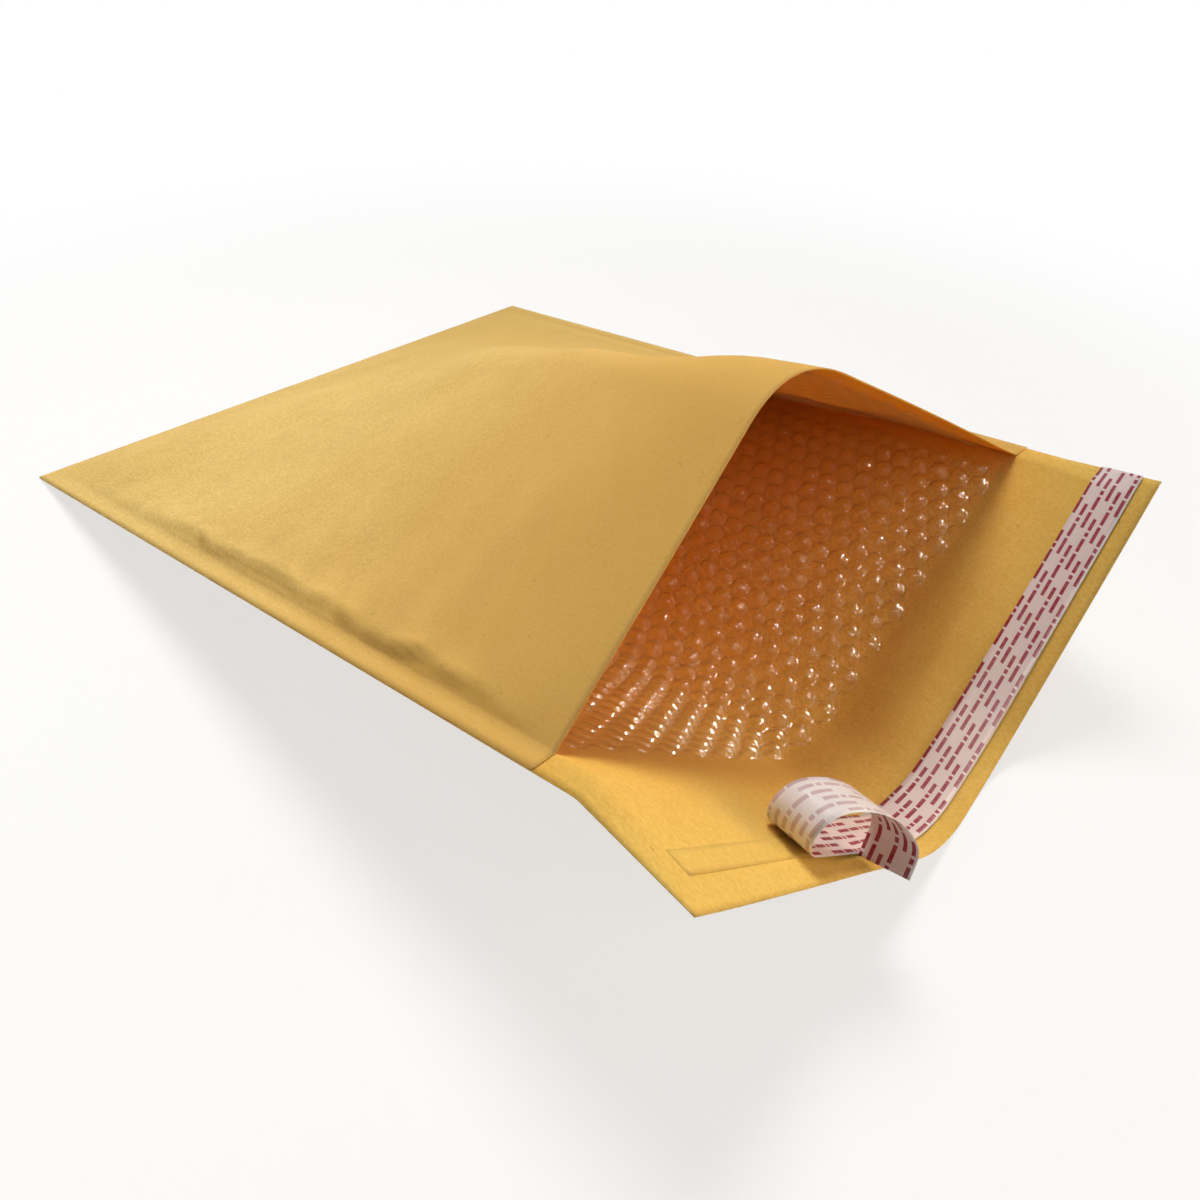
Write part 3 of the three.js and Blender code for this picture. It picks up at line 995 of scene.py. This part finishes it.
@dataclass(frozen=True)
class FloorFinish:
    """Pale matt floor that fades into the white backdrop away from the envelope."""

    name: str = "pale_floor"
    color: Color = (0.93, 0.93, 0.93, 1.0)
    roughness: float = 0.9
    specular: float = 0.1
    near_white: float = 0.68
    fade: Pair = (0.18, 0.42)

    def material(self) -> bpy.types.Material:
        """Makes the finish.

        Returns:
            The new material.
        """
        graph = Graph(self.name)
        away = graph.value("ShaderNodeVectorMath", {"operation": "LENGTH"}, {0: graph.place()}, "Value")
        looks = {"Base Color": self.color, "Roughness": self.roughness, "Specular IOR Level": self.specular}
        matt = graph.node("ShaderNodeBsdfPrincipled", inputs=looks)
        white = graph.node("ShaderNodeEmission")
        seen = graph.seen() * (away.ease(*self.fade) * (1.0 - self.near_white) + self.near_white)
        parts = {0: seen, 1: matt.outputs[0], 2: white.outputs[0]}
        graph.end(graph.node("ShaderNodeMixShader", inputs=parts))
        return graph.material


# Pieces


def add_object(name: str, shape: bmesh.types.BMesh) -> bpy.types.Object:
    """Makes a finished shape an object of the scene.

    Args:
        name: the object's name.
        shape: its shape, which is used up.

    Returns:
        The new object.
    """
    mesh = bpy.data.meshes.new(name)
    shape.to_mesh(mesh)
    shape.free()
    piece = bpy.data.objects.new(name, mesh)
    bpy.context.scene.collection.objects.link(piece)
    return piece


def sheet_mesh(
    name: str, columns: int, rows: int, fold: Callable[[int, int], tuple[Vector, Pair]]
) -> bpy.types.Object:
    """A grid that is folded into its shape, with the flat sheet as its UV map.

    Args:
        name: the piece's name.
        columns: cells across.
        rows: cells along.
        fold: gives the place in metres and the flat place in metres for a column and a row.

    Returns:
        The new object.
    """
    shape = bmesh.new()
    bmesh.ops.create_grid(shape, x_segments=columns, y_segments=rows, size=0.5)
    flat: dict[bmesh.types.BMVert, Pair] = {}
    for vertex in shape.verts:
        column = round((vertex.co.x + 0.5) * columns)
        row = round((vertex.co.y + 0.5) * rows)
        vertex.co, flat[vertex] = fold(column, row)
    layer = shape.loops.layers.uv.new("flat_sheet")
    for face in shape.faces:
        face.smooth = True
        for loop in face.loops:
            loop[layer].uv = flat[loop.vert]
    return add_object(name, shape)


def thicken(piece: bpy.types.Object, thickness: float, back_slot: int = 0) -> None:
    """Gives a sheet its thickness, half to each side.

    Args:
        piece: the sheet.
        thickness: in metres.
        back_slot: how many material slots further the other side's finish is.
    """
    wall = piece.modifiers.new("thickness", "SOLIDIFY")
    wall.thickness = thickness
    wall.offset = 0.0
    wall.material_offset = back_slot


@dataclass
class KraftEnvelope:
    """The paper: one sheet folded at the closed end and sealed along both sides, with its flap."""

    pocket: Pocket
    root_steps: tuple[float, ...] = (0.7, 1.5, 2.5, 3.8, 5.4, 7.4, 10.0, 13.0, 17.0, 22.0)
    fold_steps: tuple[float, ...] = (0.0, 0.7, 1.5, 2.4, 3.6, 5.2, 7.4, 10.0, 13.0, 17.0, 22.0)
    face_columns: int = 66
    row_step: float = 1.8
    outside: KraftFinish = KraftFinish(
        "kraft_outside",
        light=(0.83, 0.59, 0.21, 1.0),
        dark=(0.66, 0.435, 0.13, 1.0),
        fleck=(0.40, 0.21, 0.05, 1.0),
        # Painted shade: darker and warmer towards the front panel's mouth.
        painted_shade=(0.67, 0.372, 0.079, 1.0),
        painted_shade_range=(0.20, 0.0),
        painted_shade_share=0.85,
        # Painted shade: darker over the far part of the width, from about the front panel's ridge on.
        far_share=1.0,
    )
    inside: KraftFinish = KraftFinish(
        "kraft_inside",
        light=(0.80, 0.54, 0.13, 1.0),
        dark=(0.69, 0.435, 0.087, 1.0),
        fleck=(0.40, 0.19, 0.03, 1.0),
        # Painted shade: darker and redder from the flap into the pocket, in full on the ceiling and from about
        # 90 mm inside the mouth.
        painted_shade=(0.88, 0.285, 0.004, 1.0),
        painted_shade_range=(0.572, 0.44),
        painted_shade_share=0.94,
    )

    def across_stops(self, width: float) -> list[float]:
        """Grid lines across the sheet, close together beside the seams.

        Args:
            width: length of the cross line.

        Returns:
            Distances from the near edge.
        """
        seam = self.pocket.cut.seam_width
        near = [0.0, seam / 3.0, seam * 2.0 / 3.0, seam, *(seam + step for step in self.root_steps)]
        far = [width - stop for stop in reversed(near)]
        return near + spread(near[-1], far[0], self.face_columns)[1:-1] + far

    def along_stops(self) -> list[float]:
        """Grid lines along the sheet, close together beside the fold.

        Returns:
            Distances from the fold, below zero on the front panel and above it on the back panel and flap.
        """
        cut = self.pocket.cut
        last = self.fold_steps[-1]
        parts = round((cut.pocket_length - last) / self.row_step)
        panel = [*self.fold_steps, *spread(last, cut.pocket_length, parts)[1:]]
        flap = spread(cut.pocket_length, cut.free_edge, round(cut.flap_length / self.row_step))
        return [-stop for stop in reversed(panel[1:])] + panel + flap[1:]

    def build(self) -> bpy.types.Object:
        """Folds the sheet.

        Returns:
            The paper's object.
        """
        pocket, cut = self.pocket, self.pocket.cut
        rows = self.along_stops()
        columns = len(self.across_stops(cut.width)) - 1

        def fold(column: int, row: int) -> tuple[Vector, Pair]:
            """Folds one grid point.

            Args:
                column: its number across.
                row: its number along.

            Returns:
                Its place, and where it is on the flat sheet, in metres.
            """
            stop = rows[row]
            panel = pocket.back if stop > 0.0 else pocket.front
            width = panel.width_at(abs(stop))
            across = self.across_stops(width)[column]
            point = panel.point(across, abs(stop))
            if stop == 0.0:
                point.z -= cut.seam_step / 2.0
            return pocket.place(point), (across / width * cut.width * MM, (stop + cut.pocket_length) * MM)

        piece = sheet_mesh("kraft_paper", columns, len(rows) - 1, fold)
        thicken(piece, cut.thickness * MM, PaperSide.INSIDE.value)
        return piece

    def dress(self, piece: bpy.types.Object) -> None:
        """Gives the paper its two sides' finishes and its place in the part.

        Args:
            piece: the paper's object.
        """
        finishes = {PaperSide.OUTSIDE: self.outside, PaperSide.INSIDE: self.inside}
        for side in PaperSide:
            piece.data.materials.append(finishes[side].material())
        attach(piece, BODY)
        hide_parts("kraft_envelope")
        cut = self.pocket.cut
        cut.width * MM


@dataclass
class BubbleLiner:
    """The bubble film: one honeycomb of domes, folded at the closed end like the paper."""

    pocket: Pocket
    columns: int = 34
    side_inset: float = 10.0
    fold_inset: float = 6.0
    mouth_inset: float = 1.0
    ceiling_inset: float = 5.0
    ceiling_share: float = 0.4
    film_height: float = 0.85
    film_share: float = 0.36
    bubble_height: float = 3.1
    flat_bubble: float = 0.15
    room: float = 0.8
    room_margin: float = 1.2
    uneven: float = 0.3
    seed: float = 7.9
    seed_width: float = 200.0
    near_crush: float = 0.72
    crush_range: Pair = (0.42, 0.12)
    rings: tuple[Pair, ...] = ((0.35, 0.0), (0.55, 1.0))
    plain_rings: tuple[Pair, ...] = ((0.9, 1.0),)
    floor_open: float = 120.0
    ceiling_open: float = 150.0
    weld: float = 0.05
    snap: float = 0.01
    finish: FilmFinish = FilmFinish()

    @property
    def width(self) -> float:
        """Width of the flat film, in millimetres."""
        return self.pocket.cut.width - 2.0 * self.side_inset

    @property
    def cell(self) -> float:
        """Distance from the middle of a six-sided cell to its corners, in millimetres."""
        return self.width / (1.5 * self.columns + 0.5)

    @property
    def pitch(self) -> float:
        """Distance between two bubbles of a column, in millimetres."""
        return math.sqrt(3.0) * self.cell

    @property
    def reach(self) -> float:
        """Length of the film from its fold to the mouth, in millimetres."""
        return self.pocket.cut.pocket_length - self.mouth_inset - self.fold_inset

    def _honeycomb(self, shape: bmesh.types.BMesh) -> None:
        """Lays six-sided cells side by side on the flat film, every second column half a cell on.

        Args:
            shape: the mesh to fill.
        """
        rows = round(self.reach / self.pitch)
        step = self.reach / rows
        turned = Matrix.Diagonal((1.0, step / self.pitch, 1.0, 1.0)) @ Matrix.Rotation(math.pi / 2.0, 4, "Z")
        for column in range(self.columns):
            shifted = column % 2
            for row in range(-rows, rows + shifted):
                center = Vector(((1.0 + 1.5 * column) * self.cell, (row + 0.5 * (1 - shifted)) * step, 0.0))
                place = Matrix.Translation(center) @ turned
                bmesh.ops.create_circle(shape, cap_ends=True, segments=6, radius=self.cell, matrix=place)
        bmesh.ops.remove_doubles(shape, verts=shape.verts, dist=self.weld * self.pitch)

    def _raise_domes(self, shape: bmesh.types.BMesh) -> None:
        """Raises a dome in each cell, finer where the mouth shows it, and cuts the film off at the mouth.

        Args:
            shape: the flat honeycomb.
        """
        cells = [(face, face.calc_center_median().y) for face in shape.faces]
        shown = [face for face, along in cells if along > self.floor_open]
        plain = [face for face, along in cells if -0.5 * self.pitch < along <= self.floor_open]
        plain += [face for face, along in cells if along < -self.ceiling_open]
        for faces, rings in ((shown, self.rings), (plain, self.plain_rings)):
            for inset, rise in rings:
                bmesh.ops.inset_individual(
                    shape, faces=faces, thickness=inset, depth=rise * self.bubble_height, use_even_offset=True
                )
        for side in (-1.0, 1.0):
            bmesh.ops.bisect_plane(
                shape,
                geom=[*shape.verts, *shape.edges, *shape.faces],
                dist=self.snap * self.pitch,
                plane_co=(0.0, side * self.reach, 0.0),
                plane_no=(0.0, side, 0.0),
                clear_outer=True,
            )

    def _heights_at(self, share: float, along: float) -> Pair:
        """Heights of the film and of a bubble on it between the panels.

        Args:
            share: place across the film, from 0 to 1.
            along: distance from the closed end.

        Returns:
            The film's height over the paper and the bubble's over the film, in millimetres.
        """
        back, front = self.pocket.back, self.pocket.front
        low = back.point(self._across(back, share, along), along)
        high = front.point(self._across(front, share, along), along)
        film = min(self.film_height, self.film_share * (high.z - low.z))
        free = self.room * (high.z - low.z) / 2.0 - self.room_margin
        crush = 1.0 - self.near_crush * ease(share, *self.crush_range)
        puff = 1.0 + self.uneven * ripple(along, self.seed_width * share, self.pitch, self.seed)
        return film, min(self.bubble_height * crush * puff, max(self.flat_bubble, free))

    def _across(self, panel: Panel, share: float, along: float) -> float:
        """Distance along a panel's cross line for a place across the film."""
        return self.side_inset + share * (panel.width_at(along) - 2.0 * self.side_inset)

    def build(self) -> bpy.types.Object:
        """Lays the honeycomb out flat, raises its domes and folds it into the pocket.

        Returns:
            The film's object.
        """
        reach = self.reach
        shape = bmesh.new()
        self._honeycomb(shape)
        self._raise_domes(shape)
        for vertex in shape.verts:
            share = ratio(vertex.co.x, 0.0, self.width)
            panel, facing, length = self.pocket.back, Facing.FLOOR, reach
            if vertex.co.y < 0.0:
                panel, facing = self.pocket.front, Facing.CEILING
                length = reach + self.mouth_inset - self.ceiling_inset
            along = self.fold_inset + length * min(1.0, abs(vertex.co.y) / reach)
            film, bubble = self._heights_at(share, along)
            if facing is Facing.CEILING:
                bubble *= self.ceiling_share
            height = film + vertex.co.z / self.bubble_height * bubble
            place = panel.offset(self._across(panel, share, along), along, facing.value * height)
            vertex.co = self.pocket.place(place)
        for face in shape.faces:
            face.smooth = True
        piece = add_object("bubble_film", shape)
        round_off = piece.modifiers.new("rounding", "SUBSURF")
        round_off.levels = round_off.render_levels = 1
        return piece

    def dress(self, piece: bpy.types.Object) -> None:
        """Gives the film its finish and its place in the part.

        Args:
            piece: the film's object.
        """
        piece.data.materials.append(self.finish.material())
        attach(piece, BODY)
        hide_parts("bubble_liner")
        self.width * MM


@dataclass
class GlueBand:
    """The band of glue on the flap."""

    pocket: Pocket
    width: float = 6.0
    from_edge: float = 7.5
    inset: float = 7.0
    height: float = 0.19
    thickness: float = 0.06
    columns: int = 110
    rows: int = 4
    finish: KraftFinish = KraftFinish(
        "hot_melt_glue",
        light=(0.80, 0.54, 0.135, 1.0),
        dark=(0.70, 0.445, 0.092, 1.0),
        fleck=(0.50, 0.26, 0.04, 1.0),
        painted_shade=(0.66, 0.37, 0.065, 1.0),
        painted_shade_range=(0.0, 1.0),
        painted_shade_share=0.0,
        roughness=0.52,
        bump_height=0.00004,
    )

    def build(self) -> bpy.types.Object:
        """Lays the band on the flap.

        Returns:
            The band's object.
        """
        panel, cut = self.pocket.back, self.pocket.cut
        span = panel.width_at(cut.pocket_length)

        def fold(column: int, row: int) -> tuple[Vector, Pair]:
            """Folds one grid point.

            Args:
                column: its number across.
                row: its number along.

            Returns:
                Its place, and where it is on the flat band, in metres.
            """
            across = self.inset + (span - 2.0 * self.inset) * column / self.columns
            along = cut.free_edge - self.from_edge - self.width * (1.0 - row / self.rows)
            return self.pocket.place(panel.offset(across, along, self.height)), (across * MM, along * MM)

        piece = sheet_mesh("glue_band", self.columns, self.rows, fold)
        thicken(piece, self.thickness * MM)
        return piece

    def dress(self, piece: bpy.types.Object) -> None:
        """Gives the band its finish and its place in the part.

        Args:
            piece: the band's object.
        """
        piece.data.materials.append(self.finish.material())
        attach(piece, BODY)
        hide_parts("adhesive_strip")


@dataclass(frozen=True)
class RollBend:
    """One bend of the rolled end."""

    radius: float
    turn: float


@dataclass
class ReleaseStrip:
    """The release strip: stuck on the flap's far part, peeled and rolled over at its near end."""

    pocket: Pocket
    width: float = 13.0
    from_edge: float = 5.0
    height: float = 0.62
    thickness: float = 0.14
    peel_at: float = 70.0
    roll_slant: float = 11.0
    floor_length: float = 21.0
    floor_lift: float = 3.0
    bends: tuple[RollBend, ...] = (RollBend(6.2, 156.0), RollBend(20.0, 62.0), RollBend(4.5, 62.0))
    step: float = 1.2
    columns: int = 8
    printed: StripFinish = StripFinish("release_paper_printed")
    plain: StripFinish = StripFinish(
        "release_paper_plain", paper=(0.77, 0.72, 0.72, 1.0), strength=0.42, roughness=0.3
    )

    def _roll(self, distance: float) -> Pair:
        """Place in the rolling plane at a distance past the peel.

        Args:
            distance: along the strip.

        Returns:
            Way along the floor and height over it.
        """
        legs = [(self.floor_length, 0.0)]
        legs += [(bend.radius * math.radians(bend.turn), math.radians(bend.turn)) for bend in self.bends]
        ahead, up, heading, left = 0.0, 0.0, math.radians(self.floor_lift), distance
        for length, turn in legs:
            run = min(left, length)
            rate = turn / length
            onward = heading + rate * run
            if rate:
                ahead += (math.sin(onward) - math.sin(heading)) / rate
                up += (math.cos(heading) - math.cos(onward)) / rate
            else:
                ahead += run * math.cos(heading)
                up += run * math.sin(heading)
            heading = onward
            left -= run
        return ahead + left * math.cos(heading), up + left * math.sin(heading)

    def build(self) -> bpy.types.Object:
        """Lays the strip on the flap and rolls its peeled end.

        Returns:
            The strip's object.
        """
        panel, cut = self.pocket.back, self.pocket.cut
        middle = cut.free_edge - self.from_edge - self.width / 2.0
        span = panel.width_at(cut.pocket_length)
        base = panel.offset(self.peel_at, middle, self.height)
        up = panel.normal(self.peel_at, middle)
        before = panel.point(self.peel_at - HEADING_STEP, middle)
        onward = (before - panel.point(self.peel_at, middle)).normalized()
        outward = up.cross(onward).normalized()
        slant = math.radians(self.roll_slant)
        axis = outward * math.cos(slant) + onward * math.sin(slant)
        ahead = onward * math.cos(slant) - outward * math.sin(slant)
        rows = round(span / self.step)

        def fold(column: int, row: int) -> tuple[Vector, Pair]:
            """Folds one grid point.

            Args:
                column: its number across.
                row: its number along.

            Returns:
                Its place, and where it is on the flat strip, in metres.
            """
            aside = self.width * (column / self.columns - 0.5)
            across = span * (1.0 - row / rows)
            past = self.peel_at - across
            if past <= 0.0:
                point = panel.offset(across, middle + aside, self.height)
            else:
                run, rise = self._roll(past * math.cos(slant) - aside * math.sin(slant))
                sideways = past * math.sin(slant) + aside * math.cos(slant)
                point = base + axis * sideways + ahead * run + up * rise
            return self.pocket.place(point), ((aside + self.width / 2.0) * MM, (span - across) * MM)

        piece = sheet_mesh("release_strip_paper", self.columns, rows, fold)
        thicken(piece, self.thickness * MM, PaperSide.INSIDE.value)
        return piece

    def dress(self, piece: bpy.types.Object) -> None:
        """Gives the strip its printed and its plain side and its place in the part.

        Args:
            piece: the strip's object.
        """
        for finish in (self.plain, self.printed):
            piece.data.materials.append(finish.material())
        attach(piece, BODY)
        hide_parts("release_strip")
        self.width * MM
        self.pocket.cut.width * MM


# Studio


@dataclass(frozen=True)
class Lamp:
    """One softbox: round, or a level strip where it has a length."""

    name: str
    place: Triple
    size: float
    power: float
    color: Triple = (1.0, 1.0, 1.0)
    length: float = 0.0
    target: Triple = (0.02, 0.02, 0.03)
    spread: float = 180.0
    mirrored: bool = True
    lights_matt: bool = True


@dataclass
class Studio:
    """Floor, light and camera, at the photograph's viewing angle."""

    lens: float = 32.07
    sensor: float = 36.0
    near_clip: float = 0.01
    camera_place: Triple = (0.23160, -0.16648, 0.20123)
    camera_right: Triple = (0.694566, 0.719359, 0.010040)
    camera_forward: Triple = (-0.558438, 0.547884, -0.622872)
    floor_size: float = 6.0
    sky: float = 0.24
    sky_color: Color = (1.0, 0.94, 0.85, 1.0)
    key: Lamp = Lamp(
        "key", (-0.33, 0.29, 0.945), 0.50, 2.25, (1.0, 0.99, 0.97), target=(0.0, -0.25, 0.0), spread=80.0
    )
    mouth_fill: Lamp = Lamp("mouth_fill", (0.64, 0.33, 0.17), 0.40, 2.2, (1.0, 0.76, 0.50), mirrored=False)
    strip: Lamp = Lamp("strip", (0.0, 0.0, 0.0), 0.02, 4.5, length=0.40, lights_matt=False)
    strip_places: tuple[Triple, ...] = (
        (0.55, 0.34, 0.58),
        (0.75, 0.06, 0.36),
        (0.50, -0.30, 0.66),
        (0.36, 0.62, 0.42),
        (0.68, -0.18, 0.49),
        (0.46, 0.14, 0.68),
    )
    floor: FloorFinish = FloorFinish()

    @property
    def strips(self) -> list[Lamp]:
        """Strip lamps, which are mirrored but don't light matt surfaces."""
        places = enumerate(self.strip_places)
        return [replace(self.strip, name=f"strip_{k}", place=place) for k, place in places]

    def build(self) -> None:
        """Sets up camera, floor, lamps and sky."""
        self._camera()
        self._floor()
        for lamp in (self.key, self.mouth_fill, *self.strips):
            self._lamp(lamp)
        self._sky()

    def _camera(self) -> None:
        """Camera at the photograph's place, looking the way it looked."""
        data = bpy.data.cameras.new("camera")
        data.lens = self.lens
        data.sensor_width = self.sensor
        data.clip_start = self.near_clip
        camera = bpy.data.objects.new("camera", data)
        right, forward = Vector(self.camera_right), Vector(self.camera_forward)
        turn = Matrix((right, right.cross(forward), -forward)).transposed().to_4x4()
        camera.matrix_world = Matrix.Translation(self.camera_place) @ turn
        bpy.context.scene.collection.objects.link(camera)
        bpy.context.scene.camera = camera

    def _floor(self) -> None:
        """Wide floor under the envelope."""
        shape = bmesh.new()
        bmesh.ops.create_grid(shape, x_segments=1, y_segments=1, size=self.floor_size / 2.0)
        floor = add_object("floor", shape)
        floor.data.materials.append(self.floor.material())

    def _lamp(self, lamp: Lamp) -> None:
        """Sets up one lamp, turned towards its target.

        Args:
            lamp: its size, place and light.
        """
        data = bpy.data.lights.new(lamp.name, "AREA")
        data.shape = "RECTANGLE" if lamp.length else "DISK"
        data.size = lamp.length or lamp.size
        data.size_y = lamp.size
        data.energy = lamp.power
        data.color = lamp.color
        light = bpy.data.objects.new(lamp.name, data)
        light.location = lamp.place
        data.spread = math.radians(lamp.spread)
        light.visible_glossy = lamp.mirrored
        light.visible_diffuse = lamp.lights_matt
        aim = Vector(lamp.target) - Vector(lamp.place)
        light.rotation_euler = aim.to_track_quat("-Z", "Y").to_euler()
        bpy.context.scene.collection.objects.link(light)

    def _sky(self) -> None:
        """Even light from all round, white where the camera looks past the floor."""
        graph = Graph("sky", "ShaderNodeOutputWorld")
        seen = graph.seen()
        color = graph.mix(seen, self.sky_color, (1.0, 1.0, 1.0, 1.0))
        level = seen * (1.0 - self.sky) + self.sky
        graph.end(graph.node("ShaderNodeBackground", inputs={"Color": color, "Strength": level}))
        bpy.context.scene.world = graph.material


def main() -> None:
    """Builds the studio and the pieces in order."""
    logging.basicConfig(level=logging.INFO, format="%(name)s: %(message)s")
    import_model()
    bpy.context.scene.view_settings.view_transform = "Standard"
    Studio().build()
    pocket = Pocket(PaperCut(), PocketPose(), PaperRelief())
    for maker in (KraftEnvelope(pocket), BubbleLiner(pocket), GlueBand(pocket), ReleaseStrip(pocket)):
        piece = maker.build()
        maker.dress(piece)
        LOG.info("%s: %d faces", piece.name, len(piece.data.polygons))


if __name__ == "__main__":
    main()
